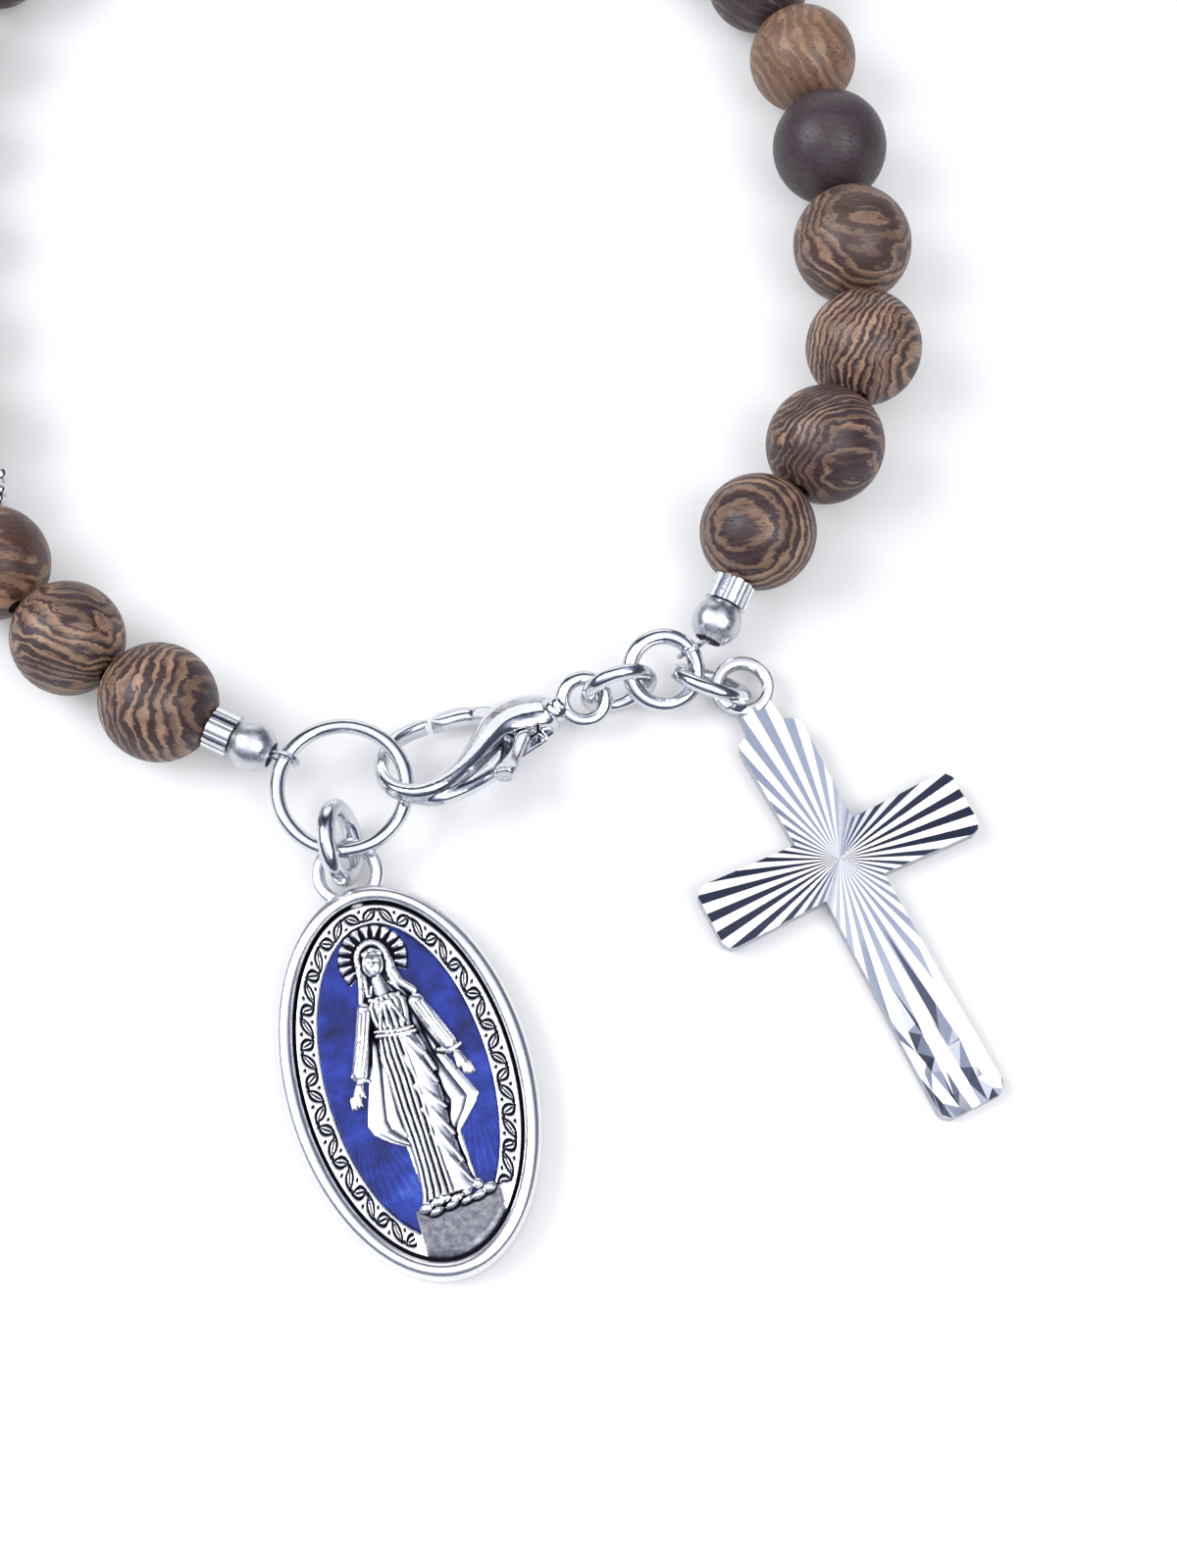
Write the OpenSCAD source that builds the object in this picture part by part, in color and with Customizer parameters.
// Rosary bracelet: wood beads on a wire, closed by a lobster clasp, with an enamelled medal and a
// ray-cut cross. It lies on a table as when it has been put down, fastened.
// Millimetres, +Z up. The origin lies in the loop's opening, near its middle, on the table.

/* [Wood beads] */
// Usual diameter of a wood bead
bead_d = 8; // [7.6:0.1:8.6]
// Bore of a wood bead and of the silver bead
bead_bore_d = 1.5; // [1.4:0.1:1.8]
// Wood beads from the left end to the silver bead
beads_before = 3; // [2:1:4]
// Wood beads from the silver bead round to the right end
beads_after = 20; // [18:1:22]
// Width of the loop between the middles of its beads
loop_w = 68; // [67:0.5:70]
// Space between neighbours on the string
bead_gap = 0.1; // [0.06:0.02:0.2]

/* [Silver bead] */
// Length of the silver bead along the string
silver_l = 4.4; // [4:0.1:5]
// Diameter of its barrel
silver_core_d = 4.4; // [4:0.1:4.8]
// Diameter of one granule
granule_d = 1.1; // [0.9:0.05:1.2]
// Granules round the middle row
granules = 12; // [10:1:12]

/* [String ends] */
// Diameter of the stringing wire
string_d = 0.4; // [0.3:0.05:0.5]
// Diameter of a fluted tube
tube_d = 2.9; // [2.7:0.1:3.2]
// Length of a fluted tube
tube_l = 1.7; // [1.4:0.1:2.2]
// Bore of a fluted tube, in which the round beads on both sides nest
tube_bore_d = 2.2; // [2:0.1:2.3]
// Flutes round a tube
tube_flutes = 10; // [8:1:12]
// Diameter of the cutter of a flute
flute_d = 0.5; // [0.4:0.05:0.6]
// Diameter of the round cover over the crimp
cover_d = 3.4; // [3.1:0.1:3.7]
// Mouth of the cover, where the wire comes out
cover_mouth_d = 1.8; // [1.7:0.1:2]
// Space between nested pieces
fit_gap = 0.05; // [0.03:0.01:0.1]
// Space between a ring's wire and the stringing wire round it
loop_gap = 0.1; // [0.06:0.02:0.16]

/* [Rings] */
// Outer diameter of the big ring
big_ring_d = 9.5; // [9:0.1:10]
// Wire of the big ring
big_ring_wire = 1; // [0.8:0.05:1.1]
// Outer diameter of the ring at the right end
right_ring_d = 5.7; // [5.5:0.1:6]
// Wire of the ring at the right end
right_ring_wire = 1.1; // [0.9:0.05:1.15]
// Outer diameter of the ring between clasp and right ring
link_d = 5.34; // [5.2:0.05:5.6]
// Wire of that ring
link_wire = 1.04; // [0.9:0.02:1.1]
// Outer diameter of the ring that carries the medal
medal_ring_d = 5.9; // [5.7:0.1:6.2]
// Wire of the medal's ring
medal_ring_wire = 1.2; // [1:0.05:1.25]
// Outer diameter of the ring that carries the cross
cross_ring_d = 5.9; // [5.7:0.1:6.2]
// Wire of the cross's ring
cross_ring_wire = 1; // [0.9:0.05:1.1]

/* [Clasp] */
// Length of the clasp from the hook's bend to the neck
clasp_l = 12.9; // [12.5:0.1:13.3]
// Height of the body where it is thickest
clasp_h = 2.4; // [2.2:0.1:2.5]
// Thickness of the lever where it runs in the body
lever_t = 0.7; // [0.5:0.05:0.8]
// Space between lever and body
lever_gap = 0.08; // [0.05:0.01:0.1]
// Diameter of the lever round its pin
lever_hub_d = 2.2; // [2:0.1:2.4]
// Diameter of the pivot pin
pin_d = 0.8; // [0.7:0.05:0.9]
// Space between the closed gate and the tip of the hook
gate_gap = 0.3; // [0.26:0.02:0.36]
// Outer diameter of the clasp's eye
eye_d = 3.9; // [3.8:0.1:4.2]
// Bar of the clasp's eye
eye_bar = 1; // [0.9:0.05:1.1]

/* [Medal] */
// Length of the medal without its bail
medal_l = 26.3; // [24:0.1:28]
// Width of the medal
medal_w = 15.9; // [14.5:0.1:17]
// Thickness of the medal at its rim
medal_t = 1.9; // [1.7:0.1:2.2]
// Width of the raised rim
rim_w = 1.25; // [1.1:0.05:1.4]
// Width of the ornamented band inside the rim
band_w = 1.6; // [1.4:0.1:1.8]
// Depth of the band under the rim
band_drop = 0.45; // [0.3:0.05:0.5]
// Depth of the enamelled field under the rim
field_drop = 0.9; // [0.7:0.05:1]
// Thickness of the enamel
enamel_t = 0.35; // [0.25:0.05:0.4]
// Space between enamel and metal
enamel_gap = 0.05; // [0.03:0.01:0.1]
// Leaves along the band
leaves = 40; // [32:2:46]
// Length of one leaf
leaf_l = 1.1; // [0.9:0.1:1.3]
// Outer diameter of the medal's bail
medal_bail_d = 4.8; // [4.6:0.1:5]
// Hole of the medal's bail
medal_bail_hole = 3; // [2.9:0.1:3.2]
// How far the bail's hole reaches into the medal's outline
medal_bail_lap = 0.7; // [0.4:0.1:1]
// Thickness of the medal's bail
medal_bail_t = 1; // [0.9:0.05:1.1]

/* [Cross] */
// Width across the arms
cross_w = 19.4; // [18:0.1:21]
// Length from the middle to the foot
cross_foot_l = 18.5; // [17:0.1:20]
// Length from the middle to the head's shoulders
cross_head_l = 10.4; // [9.5:0.1:11]
// Width of an arm at its end
arm_w = 4.7; // [4.2:0.1:5.2]
// Width of an arm where it leaves the middle
arm_root_w = 4.3; // [4:0.1:4.6]
// Thickness of the cross
cross_t = 1; // [0.9:0.05:1.2]
// Cuts round the middle
rays = 44; // [36:2:48]
// Depth of a cut
ray_depth = 0.16; // [0.1:0.02:0.2]
// Length from the middle of the cross to the middle of its bail
cross_bail_l = 13.7; // [13:0.1:14.5]
// Outer diameter of the cross's bail
cross_bail_d = 4.2; // [4.1:0.1:4.5]
// Hole of the cross's bail
cross_bail_hole = 2.8; // [2.7:0.1:2.9]
// Thickness of the cross's bail
cross_bail_t = 0.9; // [0.8:0.05:1]

/* [Hidden] */
WOOD = "#5d3a2c";
SILVER = "#c9ccd2";
DARK_SILVER = "#9ea2aa";
BLUE = "#2b46c0";
FLOOR_GAP = 0.02;
EDGE = 0.2;
fine = 96;

// The string's route through the middles of its beads, as chosen points on the table: from the first
// bead at the left end round to the last one at the right end. Shares of the loop's width
ROUTE = [
    [-0.243, -0.491], [-0.331, -0.426], [-0.414, -0.347], [-0.449, -0.254], [-0.491, -0.165],
    [-0.524, -0.053], [-0.541, 0.065], [-0.550, 0.182], [-0.543, 0.300], [-0.503, 0.409],
    [-0.415, 0.500], [-0.303, 0.560], [-0.179, 0.590], [-0.056, 0.593], [0.065, 0.578], [0.179, 0.538],
    [0.284, 0.475], [0.376, 0.381], [0.418, 0.272], [0.441, 0.160], [0.460, 0.041], [0.469, -0.082],
    [0.428, -0.197], [0.353, -0.304]
];
// Turned beads are a little uneven: the first ones from each end, as shares of the usual diameter
LEFT_SHARES = [1, 0.965, 0.98];
RIGHT_SHARES = [1, 1.03, 1.02, 1.055, 1.03, 0.975, 0.96];
// Headings of the two ends, and how far they dip towards the table
LEFT_HEADING = -25;
RIGHT_HEADING = -115;
LEFT_DIP = 4;
RIGHT_DIP = 9;
// Where on its ring each wire loop sits
LEFT_LOOP_SIDE = 152;
RIGHT_LOOP_SIDE = 41;

function unit(v) = v / norm(v);
function heading(a) = [cos(a), sin(a)];
function heading_3(a) = [cos(a), sin(a), 0];
function dipping(a, dip) = [cos(dip) * cos(a), cos(dip) * sin(a), -sin(dip)];
function flat(p) = [p[0], p[1]];
function lifted(p, z) = [p[0], p[1], z];

// The point at share t of the span from b to c of a smooth curve through a, b, c and d
function blend(a, b, c, d, t) =
    0.5 * (2 * b + t * (c - a) + t * t * (2 * a - 5 * b + 4 * c - d) + t * t * t * (3 * b - a - 3 * c + d));

// A smooth curve through all the points, with steps points to each span
function smooth(points, steps) =
    let (
        n = len(points),
        p = concat([2 * points[0] - points[1]], points, [2 * points[n - 1] - points[n - 2]])
    )
    concat(
        [for (i = [1:n - 1], k = [0:steps - 1]) blend(p[i - 1], p[i], p[i + 1], p[i + 2], k / steps)],
        [points[n - 1]]
    );

// Lengths along a curve up to each of its points
function span(curve, i) = i + 1 < len(curve) ? norm(curve[i + 1] - curve[i]) : 0;
function lengths(curve) = [for (i = 0, s = 0; i < len(curve); s = s + span(curve, i), i = i + 1) s];

// What OpenSCAD's rotate([x, y, z]) does to a point
function turned(p, angles) =
    let (
        c = [for (a = angles) cos(a)],
        s = [for (a = angles) sin(a)],
        a = [p[0], p[1] * c[0] - p[2] * s[0], p[1] * s[0] + p[2] * c[0]],
        b = [a[0] * c[1] + a[2] * s[1], a[1], a[2] * c[1] - a[0] * s[1]]
    )
    [b[0] * c[2] - b[1] * s[2], b[0] * s[2] + b[1] * c[2], b[2]];

// Ring radii to the middle of the wire
big_r = (big_ring_d - big_ring_wire) / 2;
right_r = (right_ring_d - right_ring_wire) / 2;
link_r = (link_d - link_wire) / 2;
medal_ring_r = (medal_ring_d - medal_ring_wire) / 2;
cross_ring_r = (cross_ring_d - cross_ring_wire) / 2;
eye_r = (eye_d - eye_bar) / 2;
medal_bail_r = (medal_bail_d + medal_bail_hole) / 4;
cross_bail_r = (cross_bail_d + cross_bail_hole) / 4;

// Turns of the pieces between the two ends
BIG_TURN = [5.5, 1.5, 0];
RIGHT_TURN = [21.6, 9.8, 0];
LINK_TURN = [85, 0, 16.5];
MEDAL_RING_TURN = [0, 72, 3];
CROSS_RING_TURN = [121, 0, -22.7];
CLASP_TURN = [-30, 2, 12];
EYE_TURN = [16, 0, 12];
MEDAL_TURN = [1.3, -2, 17.5];
CROSS_TURN = [1.9, 0.6, 26.5];

// Slack between the covers and their rings, how much higher each piece lies than what it rests on, and
// how far linked pieces reach into each other
LEFT_SLACK = 0.3;
RIGHT_SLACK = 0.6;
BAIL_LIFT = 0.08;
BIG_LIFT = 0.29;
HOOK_DROP = 1.77;
RIGHT_LIFT = 0.26;
CROSS_LIFT = 0.18;
MEDAL_RING_IN = 0.63;
MEDAL_BAIL_IN = 0.12;
LINK_LAP = 1.15;
RIGHT_LAP = 1.22;
CROSS_RING_LAP = 1.52;
CROSS_BAIL_LAP = 1.99;
// Where the big ring's wire crosses the hook, and where the eye's middle is, in the clasp's own frame.
// Shares of its length
HOOK_SEAT = [-0.663, -0.236];
EYE_PLACE = [0.322, -0.014, 0.083];

// The left end: the tube and the cover in line with the first bead
tube_seat = sqrt(pow(bead_d / 2, 2) - pow(tube_bore_d / 2, 2)) + fit_gap;
cover_seat = tube_seat + tube_l + sqrt(pow(cover_d / 2, 2) - pow(tube_bore_d / 2, 2)) + fit_gap;
first_at = lifted(loop_w * ROUTE[0], bead_d / 2);
left_way = dipping(LEFT_HEADING, LEFT_DIP);
cover_left_at = first_at + cover_seat * left_way;

// Heights of what lies on the table or on each other
medal_ring_z = medal_ring_r * sin(MEDAL_RING_TURN[1]) + medal_ring_wire / 2 + FLOOR_GAP;
medal_bail_z = medal_ring_wire + medal_bail_t / 2 + BAIL_LIFT;
big_z = medal_bail_z + (medal_bail_t + big_ring_wire) / 2 + BIG_LIFT + big_r * sin(BIG_TURN[0]);
clasp_z = big_z - HOOK_DROP;
link_z = link_r * sin(LINK_TURN[0]) + link_wire / 2 + FLOOR_GAP;
right_z = link_z + RIGHT_LIFT;
cross_ring_z = cross_ring_r * sin(CROSS_RING_TURN[0]) + cross_ring_wire / 2 + FLOOR_GAP;
cross_bail_z = cross_ring_wire + cross_bail_t / 2 + CROSS_LIFT;

// A place beyond another one: a distance away in a direction on the table, at a height
function beyond(at, distance, a, z) = lifted(flat(at) + distance * heading(a), z);

// The big ring hangs in the left wire loop, the clasp hooks into it, and the medal's ring goes round it
big_reach = cover_d / 2 + LEFT_SLACK + big_ring_wire / 2 + big_r;
big_at = beyond(cover_left_at, big_reach, -26, big_z);
hook_seat_at = turned(lifted(clasp_l * HOOK_SEAT, 0), CLASP_TURN);
clasp_at = beyond(big_at - hook_seat_at, big_r, 15, clasp_z);
medal_ring_at = beyond(big_at, big_r - MEDAL_RING_IN, -90.6, medal_ring_z);
medal_bail_at = beyond(medal_ring_at, medal_bail_r - MEDAL_BAIL_IN, -76, medal_bail_z);

// The clasp's eye holds the link, the link holds the right ring, and that one the right wire loop
eye_at = clasp_at + turned(clasp_l * EYE_PLACE, CLASP_TURN);
link_at = beyond(eye_at, eye_r + link_r - LINK_LAP, 18, link_z);
right_at = beyond(link_at, link_r + right_r - RIGHT_LAP, 21.8, right_z);
right_reach = right_r + right_ring_wire / 2 + RIGHT_SLACK + cover_d / 2;
cover_right_at = beyond(right_at, right_reach, 45, bead_d / 2 - cover_seat * sin(RIGHT_DIP));
right_way = dipping(RIGHT_HEADING, RIGHT_DIP);
last_at = cover_right_at - cover_seat * right_way;
cross_ring_at = beyond(right_at, right_r + cross_ring_r - CROSS_RING_LAP, -13.8, cross_ring_z);
cross_bail_at = beyond(cross_ring_at, cross_ring_r + cross_bail_r - CROSS_BAIL_LAP, 2.5, cross_bail_z);

// Half lengths of the pieces on the string, and the distances between their middles
wood_beads = beads_before + beads_after;
pieces = wood_beads + 1;
function share(i) = i < len(LEFT_SHARES) ? LEFT_SHARES[i] : default(RIGHT_SHARES[pieces - 1 - i], 1);
function default(value, other) = is_undef(value) ? other : value;
function wood_d(i) = bead_d * share(i);
halves = [for (i = [0:pieces - 1]) (i == beads_before ? silver_l : wood_d(i)) / 2];
steps = [for (i = [0:pieces - 2]) halves[i] + halves[i + 1] + bead_gap];

// The route, laid from the first bead to the last one and stretched sideways until the pieces fit
route_curve = smooth(loop_w * ROUTE, 8);
route_from = route_curve[0];
route_chord = route_curve[len(route_curve) - 1] - route_from;
chord = flat(last_at) - flat(first_at);

function across(v) = [-v[1], v[0]];
function laid(p, k) =
    let (
        u = unit(route_chord),
        along = (p - route_from) * u,
        side = (p - route_from) * across(u)
    )
    flat(first_at) + along / norm(route_chord) * chord + k * side * across(unit(chord));
function laid_curve(k) = [for (p = route_curve) laid(p, k)];
// A curve as rows of length so far, x and y, and the point on it at the length s
function measured(curve) =
    let (s = lengths(curve))
    [for (axis = [0, 1]) [for (i = [0:len(curve) - 1]) [s[i], curve[i][axis]]]];
function point(rows, s) = [lookup(s, rows[0]), lookup(s, rows[1])];
// The length at which the curve is a straight distance d away from its point at length from
function away(rows, from, s, d, tries) =
    tries == 0 ? s : away(rows, from, s + d - norm(point(rows, s) - point(rows, from)), d, tries - 1);
function next_mark(rows, s, i) = i + 1 < pieces ? away(rows, s, s + steps[i], steps[i], 5) : s;
function marks_on(rows) = [for (i = 0, s = 0; i < pieces; s = next_mark(rows, s, i), i = i + 1) s];
function fitted(k, tries) =
    tries == 0 ? k
    : let (rows = measured(laid_curve(k)), end = rows[0][len(rows[0]) - 1][0], marks = marks_on(rows))
    fitted(k * pow(marks[pieces - 1] / end, 1.3), tries - 1);

string_rows = measured(laid_curve(fitted(1, 8)));
marks = marks_on(string_rows);

// The middle and the direction of each piece, and where the bores of neighbours meet
function place(i) = i == pieces - 1 ? flat(last_at) : point(string_rows, marks[i]);
function piece_at(i) = lifted(place(i), wood_d(i) / 2);
function piece_way(i) =
    let (
        back = i == 0 ? -left_way : unit(piece_at(i) - piece_at(i - 1)),
        ahead = i == pieces - 1 ? right_way : unit(piece_at(i + 1) - piece_at(i))
    )
    unit(back + ahead);
function bore_end(i, side) = piece_at(i) + side * halves[i] * piece_way(i);
meets = [for (i = [0:pieces - 2]) (bore_end(i, 1) + bore_end(i + 1, -1)) / 2];

// Moves what is drawn along Z to a place and a direction
module aimed(at, way) {
    translate(at)
        rotate([0, acos(way[2]), atan2(way[1], way[0])])
            children();
}

// A bar along a path. The table gives the width and height at each point of the path
module sweep(path, sizes, sides, up, fullness = 1, closed = false) {
    n = len(path);
    rings = [
        for (i = [0:n - 1])
            let (
                before = path[closed ? (i + n - 1) % n : max(i - 1, 0)],
                after = path[closed ? (i + 1) % n : min(i + 1, n - 1)],
                side = unit(cross(up, after - before)),
                top = unit(cross(after - before, side))
            )
            for (k = [0:sides - 1])
                let (a = 360 * (k + 0.5) / sides, x = cos(a), y = sin(a))
                path[i]
                + side * sizes[i][0] / 2 * sign(x) * pow(abs(x), fullness)
                + top * sizes[i][1] / 2 * sign(y) * pow(abs(y), fullness)
    ];
    walls = [
        for (i = [0:(closed ? n : n - 1) - 1], k = [0:sides - 1])
            let (j = (i + 1) % n, m = (k + 1) % sides)
            [i * sides + k, j * sides + k, j * sides + m, i * sides + m]
    ];
    ends = closed ? [] : [[for (k = [0:sides - 1]) k], [for (k = [sides - 1:-1:0]) (n - 1) * sides + k]];
    polyhedron(rings, concat(walls, ends));
}

// A ring of round wire, r to the middle of the wire
module wire_ring(r, wire) {
    rotate_extrude($fn = fine)
        translate([r, 0])
            circle(d = wire, $fn = 32);
}

// An oval with half axes a and b
function oval(a, b, n = 96) = [for (i = [0:n - 1]) [a * cos(360 * i / n), b * sin(360 * i / n)]];

module wood_bead(i) {
    color(WOOD)
        aimed(piece_at(i), piece_way(i))
            difference() {
                sphere(d = wood_d(i), $fn = fine);
                cylinder(d = bead_bore_d, h = wood_d(i) + 1, center = true, $fn = 32);
            }
}

// A barrel with a raised collar at each end and three rows of granules
module silver_bead() {
    collar_l = 0.6;
    collar_d = silver_core_d * 0.62;
    row_z = silver_l / 2 - collar_l - granule_d * 0.45;
    row_r = silver_core_d / 2 * 0.82;
    color(SILVER)
        aimed(piece_at(beads_before), piece_way(beads_before))
            difference() {
                union() {
                    cylinder(d = silver_core_d, h = silver_l - 3 * collar_l, center = true, $fn = fine);
                    cylinder(d = collar_d, h = silver_l, center = true, $fn = fine);
                    for (k = [0:granules - 1])
                        rotate([0, 0, 360 * k / granules])
                            translate([silver_core_d / 2, 0, 0])
                                sphere(d = granule_d, $fn = 24);
                    for (side = [-1, 1], k = [0:granules - 3])
                        rotate([0, 0, 360 * (k + 0.5) / (granules - 2)])
                            translate([row_r, 0, side * row_z])
                                sphere(d = granule_d, $fn = 24);
                }
                cylinder(d = bead_bore_d, h = silver_l + 1, center = true, $fn = 32);
            }
}

module fluted_tube(at, way) {
    color(SILVER)
        aimed(at + tube_seat * way, way)
            difference() {
                cylinder(d = tube_d, h = tube_l, $fn = fine);
                translate([0, 0, -1])
                    cylinder(d = tube_bore_d, h = tube_l + 2, $fn = fine);
                for (k = [0:tube_flutes - 1])
                    rotate([0, 0, 360 * k / tube_flutes])
                        translate([tube_d / 2 + flute_d * 0.15, 0, -1])
                            cylinder(d = flute_d, h = tube_l + 2, $fn = 24);
            }
}

module tube_left() {
    fluted_tube(first_at, left_way);
}

module tube_right() {
    fluted_tube(last_at, right_way);
}

// A hollow ball with a small hole towards the tube and a wider mouth at the other side
module crimp_cover(at, way) {
    color(DARK_SILVER)
        aimed(at, way)
            difference() {
                sphere(d = cover_d, $fn = fine);
                translate([0, 0, -cover_d])
                    cylinder(d = string_d * 2, h = cover_d, $fn = 32);
                translate([0, 0, -cover_d * 0.1])
                    cylinder(d = cover_mouth_d, h = cover_d, $fn = 48);
            }
}

module cover_left() {
    crimp_cover(cover_left_at, left_way);
}

module cover_right() {
    crimp_cover(cover_right_at, right_way);
}

// The wire through all the beads, straight in each of them, from cover to cover
module string_wire() {
    end_l = cover_d * 0.15;
    path = concat(
        [cover_left_at - end_l * left_way, piece_at(0)], meets,
        [piece_at(pieces - 1), cover_right_at - end_l * right_way]
    );
    color(DARK_SILVER)
        sweep(path, [for (p = path) [string_d, string_d]], 8, [0, 0, 1]);
}

// A loop of wire from a cover's mouth round a ring: a belt round two circles. Its near end lies in the
// mouth, its far end goes over the ring's wire at a point where that wire runs along the way given
module wire_loop(from, way, over, along, wire) {
    near_r = string_d / 2 + 0.04;
    far_r = wire / 2 + string_d / 2 + loop_gap;
    start = from + way * cover_d * 0.4;
    run = over - start;
    reach = norm(run);
    lean = asin((far_r - near_r) / reach);
    far_turn = 180 + 2 * lean;
    near_turn = 180 - 2 * lean;
    belt = concat(
        [for (k = [0:12]) [reach, 0] + far_r * heading((k / 12 - 0.5) * far_turn)],
        [for (k = [0:6]) near_r * heading(180 + (k / 6 - 0.5) * near_turn)]
    );
    ahead = unit(run);
    side = unit(along - (along * ahead) * ahead);
    above = cross(ahead, side);
    path = [for (p = belt) start + p[0] * ahead + p[1] * above];
    color(DARK_SILVER)
        sweep(path, [for (p = path) [string_d, string_d]], 8, side, 1, true);
}

module wire_loop_left() {
    over = big_at + turned(big_r * heading_3(LEFT_LOOP_SIDE), BIG_TURN);
    along = turned(heading_3(LEFT_LOOP_SIDE + 90), BIG_TURN);
    wire_loop(cover_left_at, left_way, over, along, big_ring_wire);
}

module wire_loop_right() {
    over = right_at + turned(right_r * heading_3(RIGHT_LOOP_SIDE), RIGHT_TURN);
    along = turned(heading_3(RIGHT_LOOP_SIDE + 90), RIGHT_TURN);
    wire_loop(cover_right_at, right_way, over, along, right_ring_wire);
}

module big_ring() {
    color(SILVER)
        translate(big_at)
            rotate(BIG_TURN)
                wire_ring(big_r, big_ring_wire);
}

module right_ring() {
    color(SILVER)
        translate(right_at)
            rotate(RIGHT_TURN)
                wire_ring(right_r, right_ring_wire);
}

module clasp_link() {
    color(SILVER)
        translate(link_at)
            rotate(LINK_TURN)
                wire_ring(link_r, link_wire);
}

module medal_ring() {
    color(SILVER)
        translate(medal_ring_at)
            rotate(MEDAL_RING_TURN)
                wire_ring(medal_ring_r, medal_ring_wire);
}

module cross_ring() {
    color(SILVER)
        translate(cross_ring_at)
            rotate(CROSS_RING_TURN)
                wire_ring(cross_ring_r, cross_ring_wire);
}

// The clasp, in its own frame: the pin stands on Z at PIN_AT, the hook is at -X, the eye at +X.
// Rows of the bars: x, y and width as shares of the clasp's length, then the underside and the top as
// shares of half its height
PIN_AT = [-0.008, -0.015];
THIN = 0.5;
HOOK_TIP = -0.492;
HOOK_BAR = [
    [HOOK_TIP, 0.104, 0.05, -THIN, THIN], [-0.589, 0.083, 0.068, -THIN, THIN],
    [-0.682, 0.027, 0.071, -THIN, THIN], [-0.752, -0.07, 0.074, -THIN, THIN],
    [-0.777, -0.186, 0.074, -THIN, THIN], [-0.767, -0.295, 0.077, -THIN, THIN],
    [-0.713, -0.38, 0.081, -THIN, THIN], [-0.62, -0.422, 0.089, -0.7, 0.52],
    [-0.512, -0.407, 0.097, -0.85, 0.6], [-0.403, -0.341, 0.108, -0.95, 0.7],
    [-0.31, -0.248, 0.128, -1, 0.8], [-0.233, -0.147, 0.159, -1, 0.9], [-0.147, -0.039, 0.209, -0.95, 0.97],
    [-0.046, 0.019, 0.256, -0.9, 1], [0.054, 0.027, 0.256, -0.85, 0.98], [0.132, 0.008, 0.202, -0.75, 0.9],
    [0.186, -0.008, 0.132, -0.6, 0.8]
];
BELLY_BAR = [
    [-0.667, -0.426, 0.031, -0.5, -0.1], [-0.589, -0.434, 0.07, -0.8, 0], [-0.496, -0.419, 0.124, -0.95, 0],
    [-0.388, -0.357, 0.178, -1, 0], [-0.279, -0.271, 0.225, -1, 0], [-0.171, -0.171, 0.256, -1, 0],
    [-0.062, -0.085, 0.271, -0.95, 0], [0.046, -0.039, 0.24, -0.85, 0], [0.124, -0.023, 0.171, -0.7, 0]
];
// The gate from its tip to where it meets the hub, and the thumb tab from the hub outwards
GATE_BAR = [
    [HOOK_TIP + gate_gap / clasp_l, 0.092, 0.03, -THIN, THIN], [-0.434, 0.113, 0.085, -THIN, THIN],
    [-0.357, 0.132, 0.101, -THIN, THIN], [-0.279, 0.133, 0.101, -THIN, THIN],
    [-0.24, 0.124, 0.093, -0.3, 0.3]
];
LEVER_ARM = [
    [-0.271, 0.171], [-0.186, 0.163], [-0.101, 0.116], [0, 0.046], [0, -0.062], [-0.093, -0.039],
    [-0.14, 0.008], [-0.209, 0.07], [-0.271, 0.085]
];
TAB_BAR = [
    [-0.023, -0.07, 0.101, -0.29, 0.29], [-0.046, -0.155, 0.077, -0.29, 0.29],
    [-0.093, -0.256, 0.077, -0.29, 0.29], [-0.14, -0.341, 0.108, -0.29, 0.4],
    [-0.167, -0.395, 0.124, -0.29, 0.55], [-0.178, -0.434, 0.093, -0.29, 0.6]
];
// The neck between body and eye starts here
NECK_FROM = [0.109, -0.031, 0.012];
neck_d = 1.5;
collar_d = 1.75;
// The collar round the neck, as shares of the neck's length
COLLAR_FROM = 0.4;
COLLAR_L = 0.28;
slot_z = lever_t / 2 + lever_gap;
pin_low = clasp_h * 0.42;
pin_top = clasp_h * 0.32;
gate_travel = 25;
// The way of the lever: round the gate, then round the tab
GATE_WAY = [[-0.488, 0.2], [-0.124, 0.2], [0.031, 0.093]];
TAB_WAY = [
    [0.031, -0.186], [-0.07, -0.512], [-0.292, -0.512], [-0.165, -0.248], [-0.116, -0.062], [-0.233, 0.047],
    [-0.488, 0.047]
];

// A bar of the clasp, with a section between an oval and a rounded box
module bar(table) {
    rows = smooth(table, 4);
    half = clasp_h / 2;
    sweep(
        [for (r = rows) [clasp_l * r[0], clasp_l * r[1], half * (r[3] + r[4]) / 2]],
        [for (r = rows) [clasp_l * r[2], half * (r[4] - r[3])]],
        14, [0, 0, 1], 0.72
    );
}

module in_clasp() {
    translate(clasp_at)
        rotate(CLASP_TURN)
            children();
}

// Moves to the pin
module at_pin() {
    translate([clasp_l * PIN_AT[0], clasp_l * PIN_AT[1], 0])
        children();
}

// What the lever sweeps between the closed gate and the open one, seen along the pin
module lever_way() {
    for (a = [0:gate_travel / 3:gate_travel + 1])
        at_pin()
            rotate([0, 0, a])
                translate(-clasp_l * PIN_AT)
                    polygon(clasp_l * concat(GATE_WAY, TAB_WAY));
    at_pin()
        circle(d = lever_hub_d + 2 * lever_gap, $fn = 48);
}

module pin_hole() {
    at_pin()
        translate([0, 0, -clasp_h])
            cylinder(d = pin_d + 2 * fit_gap, h = clasp_h + pin_top, $fn = 48);
}

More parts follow.
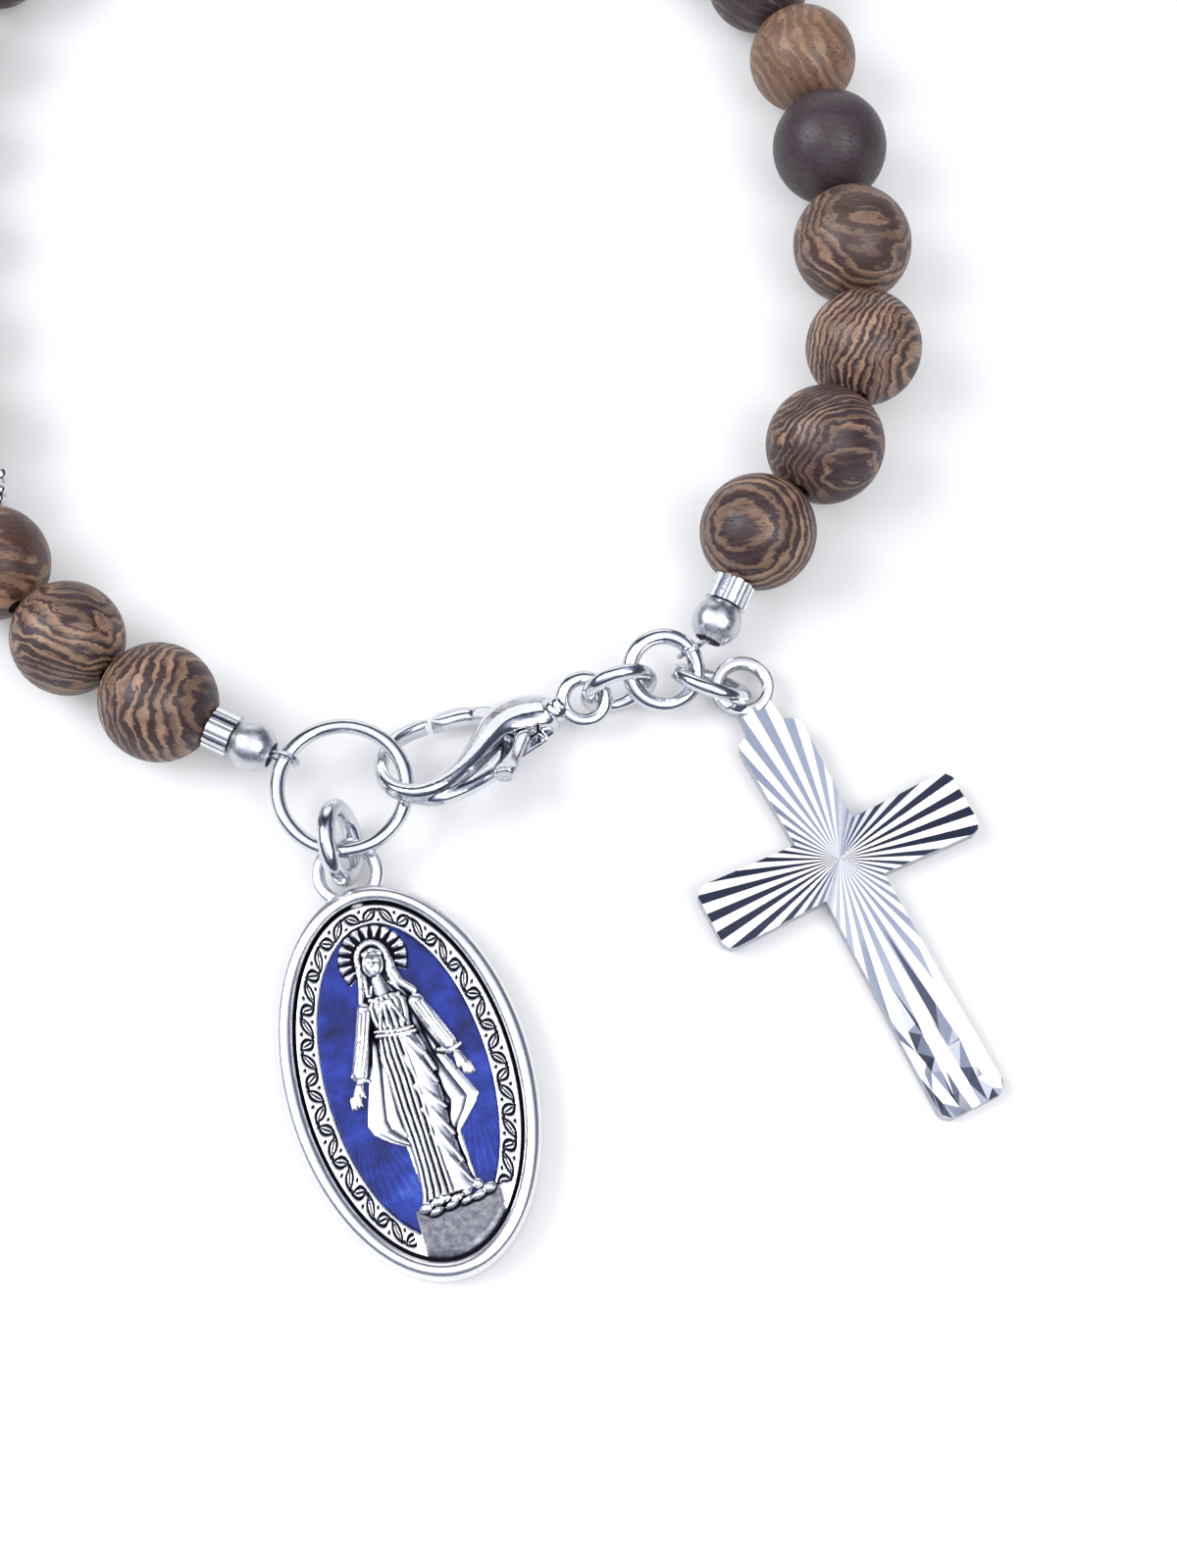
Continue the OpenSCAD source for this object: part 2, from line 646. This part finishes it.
module clasp_body() {
    neck_at = clasp_l * NECK_FROM;
    neck = clasp_l * EYE_PLACE - [eye_r, 0, 0] - neck_at;
    color(SILVER)
        in_clasp()
            difference() {
                union() {
                    bar(HOOK_BAR);
                    bar(BELLY_BAR);
                    aimed(neck_at, unit(neck)) {
                        cylinder(d = neck_d, h = norm(neck), $fn = 48);
                        translate([0, 0, norm(neck) * COLLAR_FROM])
                            cylinder(d = collar_d, h = norm(neck) * COLLAR_L, $fn = 48);
                    }
                }
                translate([0, 0, -slot_z])
                    linear_extrude(2 * slot_z)
                        lever_way();
                pin_hole();
            }
    color(SILVER)
        translate(eye_at)
            rotate(EYE_TURN)
                wire_ring(eye_r, eye_bar);
}

module clasp_lever() {
    color(SILVER)
        in_clasp()
            difference() {
                union() {
                    bar(GATE_BAR);
                    bar(TAB_BAR);
                    translate([0, 0, -lever_t / 2])
                        linear_extrude(lever_t)
                            polygon(clasp_l * LEVER_ARM);
                    at_pin()
                        cylinder(d = lever_hub_d, h = lever_t, center = true, $fn = 48);
                }
                pin_hole();
            }
}

module pivot_pin() {
    color(DARK_SILVER)
        in_clasp()
            at_pin()
                translate([0, 0, -pin_low])
                    cylinder(d = pin_d, h = pin_low + pin_top - fit_gap, $fn = 48);
}

// The medal, in its own frame: its back on z = 0, its head at +Y, its middle at the origin. The band
// and the enamelled field lie under the rim
half_w = medal_w / 2;
half_l = medal_l / 2;
bail_y = half_l + (medal_bail_hole - medal_bail_lap) / 2;
field_w = half_w - rim_w - band_w;
field_l = half_l - rim_w - band_w;
band_z = medal_t - band_drop;
field_z = medal_t - field_drop;
enamel_z = field_z + enamel_t;
// The figure, as shares of the field's half length. Rows of height and half width
MANTLE = [
    [0.62, 0.09], [0.58, 0.17], [0.46, 0.2], [0.2, 0.19], [-0.1, 0.24], [-0.35, 0.28], [-0.43, 0.22],
    [-0.84, 0.2]
];
ROBE = [[0.6, 0.07], [0.42, 0.12], [0.24, 0.09], [0, 0.14], [-0.4, 0.18], [-0.83, 0.19]];
// Middles and radii along a sleeve: shoulder, elbow, wrist and hand
SLEEVE = [[0.14, 0.55, 0.07], [0.25, 0.3, 0.085], [0.31, 0.12, 0.06], [0.35, -0.02, 0.04]];
HEAD_AT = [-0.035, 0.778];
HEAD_R = 0.1;
HALO_R = 0.21;
HALO_RAYS = 11;
// Raised forms are this much narrower than their outlines
WITHIN = 0.93;
BASE_Y = -0.83;
BASE_W = 0.34;

module in_medal() {
    middle = medal_bail_at - turned([0, bail_y, medal_t / 2], MEDAL_TURN);
    translate(middle)
        rotate(MEDAL_TURN)
            children();
}

// A closed outline from rows of height and half width, from the top down
function both_sides(rows) = field_l * concat(
    [for (r = rows) [r[1], r[0]]],
    [for (i = [len(rows) - 1:-1:0]) [-rows[i][1], rows[i][0]]]
);

// The part of the field that the figure covers, without the bare plate at its feet
module figure_outline() {
    polygon(both_sides(MANTLE));
    translate(field_l * HEAD_AT)
        circle(r = field_l * HALO_R, $fn = 48);
    for (side = [-1, 1], i = [0:len(SLEEVE) - 2])
        let (
            a = [side * SLEEVE[i][0], SLEEVE[i][1]],
            b = [side * SLEEVE[i + 1][0], SLEEVE[i + 1][1]],
            across_a = SLEEVE[i][2] * across(unit(b - a)),
            across_b = SLEEVE[i + 1][2] * across(unit(b - a))
        )
        polygon(field_l * [a + across_a, b + across_b, b - across_b, a - across_a]);
    for (side = [-1, 1], r = SLEEVE)
        translate(field_l * [side * r[0], r[1]])
            circle(r = field_l * r[2], $fn = 32);
}

// The upper part of a lying body of revolution that is as wide as the rows say where it meets level z
module rounded(rows, z, depth) {
    low = field_l * rows[len(rows) - 1][0];
    high = field_l * rows[0][0];
    profile = [for (i = [len(rows) - 1:-1:0]) field_l * [norm([WITHIN * rows[i][1], depth]), rows[i][0]]];
    intersection() {
        translate([0, 0, z - field_l * depth])
            rotate([-90, 0, 0])
                rotate_extrude($fn = fine)
                    polygon(concat([[0, high], [0, low]], profile));
        translate([-half_w, low, z - 0.02])
            cube([medal_w, high - low, medal_t]);
    }
}

module sleeve_form() {
    sink = 0.03;
    for (side = [-1, 1], i = [0:len(SLEEVE) - 1])
        let (a = field_l * [side * SLEEVE[i][0], SLEEVE[i][1], -sink])
        translate([0, 0, enamel_z]) {
            translate(a)
                sphere(r = WITHIN * field_l * SLEEVE[i][2], $fn = 32);
            if (i < len(SLEEVE) - 1)
                let (b = field_l * [side * SLEEVE[i + 1][0], SLEEVE[i + 1][1], -sink])
                aimed(a, unit(b - a))
                    cylinder(
                        r1 = WITHIN * WITHIN * field_l * SLEEVE[i][2],
                        r2 = WITHIN * WITHIN * field_l * SLEEVE[i + 1][2],
                        h = norm(b - a), $fn = 32
                    );
        }
}

module figure() {
    head_at = field_l * HEAD_AT;
    ray_l = field_l * (HALO_R - HEAD_R) * 0.7;
    ray_w = field_l * 0.028;
    translate([0, 0, field_z - 0.2])
        linear_extrude(enamel_t + 0.23)
            figure_outline();
    rounded(MANTLE, enamel_z, 0.3);
    rounded(ROBE, enamel_z + 0.25, 0.25);
    sleeve_form();
    translate([head_at[0], head_at[1], enamel_z])
        sphere(r = field_l * HEAD_R, $fn = 48);
    for (k = [0:HALO_RAYS - 1])
        translate([head_at[0], head_at[1], enamel_z - 0.1])
            rotate([0, 0, -20 + 220 * k / (HALO_RAYS - 1)])
                translate([field_l * HALO_R - ray_l - 0.1, -ray_w / 2, 0])
                    cube([ray_l, ray_w, 0.35]);
}

module leaf() {
    linear_extrude(0.3)
        polygon(leaf_l * [[-0.5, 0], [-0.15, 0.2], [0.5, 0], [-0.15, -0.2]]);
}

module medal() {
    band_a = half_w - rim_w - band_w / 2;
    band_b = half_l - rim_w - band_w / 2;
    base_w = field_l * BASE_W;
    base_y = field_l * BASE_Y;
    color(SILVER)
        in_medal()
            difference() {
                union() {
                    translate([0, 0, EDGE])
                        linear_extrude(medal_t - 2 * EDGE)
                            polygon(oval(half_w, half_l));
                    linear_extrude(medal_t)
                        polygon(oval(half_w - EDGE, half_l - EDGE));
                    translate([0, bail_y, (medal_t - medal_bail_t) / 2])
                        cylinder(d = medal_bail_d, h = medal_bail_t, $fn = fine);
                }
                translate([0, 0, band_z])
                    linear_extrude(medal_t)
                        polygon(oval(half_w - rim_w, half_l - rim_w));
                translate([0, 0, field_z])
                    linear_extrude(medal_t)
                        difference() {
                            polygon(oval(field_w, field_l));
                            translate([-base_w, -half_l])
                                square([2 * base_w, half_l + base_y]);
                        }
                translate([0, bail_y, -1])
                    cylinder(d = medal_bail_hole, h = medal_t + 2, $fn = fine);
            }
    color(SILVER)
        in_medal() {
            figure();
            for (k = [0:leaves - 1])
                let (a = 360 * (k + 0.5) / leaves, at = [band_a * cos(a), band_b * sin(a)])
                if (at[1] > base_y)
                    translate([at[0], at[1], band_z - 0.1])
                        rotate([0, 0, atan2(band_a * cos(a), -band_b * sin(a)) + 90])
                            leaf();
        }
}

module enamel() {
    base_w = field_l * BASE_W;
    base_y = field_l * BASE_Y;
    color(BLUE)
        in_medal()
            translate([0, 0, field_z + enamel_gap])
                linear_extrude(enamel_t - enamel_gap)
                    difference() {
                        polygon(oval(field_w - enamel_gap, field_l - enamel_gap));
                        offset(delta = enamel_gap) {
                            figure_outline();
                            translate([-base_w, -half_l])
                                square([2 * base_w, half_l + base_y]);
                        }
                    }
}

// The cross, in its own frame: the middle of its plate on z = 0, its head at +Y
module in_cross() {
    middle = cross_bail_at - turned([0, cross_bail_l, 0], CROSS_TURN);
    translate(middle)
        rotate(CROSS_TURN)
            children();
}

// One arm from the middle to its slightly rounded end. ARM_CORNER has the points of its corner, as
// distances in from the arm's side and down from its end
ARM_CORNER = [[0, 0.9], [0.15, 0.45], [0.6, 0.15]];
module arm(length) {
    root = arm_root_w / 2;
    corner = [for (c = ARM_CORNER) [arm_w / 2 - c[0], length - c[1]]];
    half = concat([[root, -root], [root, root]], corner);
    polygon(concat(half, [[0, length]], [for (i = [len(half) - 1:-1:0]) [-half[i][0], half[i][1]]]));
}

module cross_outline() {
    for (a = [-90, 90])
        rotate([0, 0, a])
            arm(cross_w / 2);
    arm(cross_head_l);
    rotate([0, 0, 180])
        arm(cross_foot_l);
}

module cross() {
    neck_w = 2.6;
    neck_l = cross_bail_l - cross_bail_hole / 2 - 0.4;
    ray_start = 1.2;
    ray_l = cross_foot_l + 2;
    ray_w = 1.5;
    color(SILVER)
        in_cross()
            difference() {
                union() {
                    translate([0, 0, -cross_t / 2])
                        linear_extrude(cross_t)
                            cross_outline();
                    translate([-neck_w / 2, 0, -cross_bail_t / 2])
                        cube([neck_w, neck_l, cross_bail_t]);
                    translate([0, cross_bail_l, -cross_bail_t / 2])
                        cylinder(d = cross_bail_d, h = cross_bail_t, $fn = fine);
                }
                translate([0, cross_bail_l, -2])
                    cylinder(d = cross_bail_hole, h = 4, $fn = fine);
                for (k = [0:rays - 1])
                    rotate([0, 0, 360 * (k + 0.5) / rays])
                        translate([0, 0, cross_t / 2 - ray_depth])
                            linear_extrude(1)
                                polygon([[ray_start, 0], [ray_l, ray_w / 2], [ray_l, -ray_w / 2]]);
            }
}

function bead_name(i) = str("wood_bead_", i < 9 ? "0" : "", i + 1);
// Wood beads are numbered from the left end, without the silver bead
function bead_place(i) = i < beads_before ? i : i + 1;

for (i = [0:wood_beads - 1])
    wood_bead(bead_place(i));
silver_bead();
tube_left();
tube_right();
cover_left();
cover_right();
string_wire();
wire_loop_left();
wire_loop_right();
big_ring();
right_ring();
clasp_link();
medal_ring();
cross_ring();
clasp_body();
clasp_lever();
pivot_pin();
medal();
enamel();
cross();
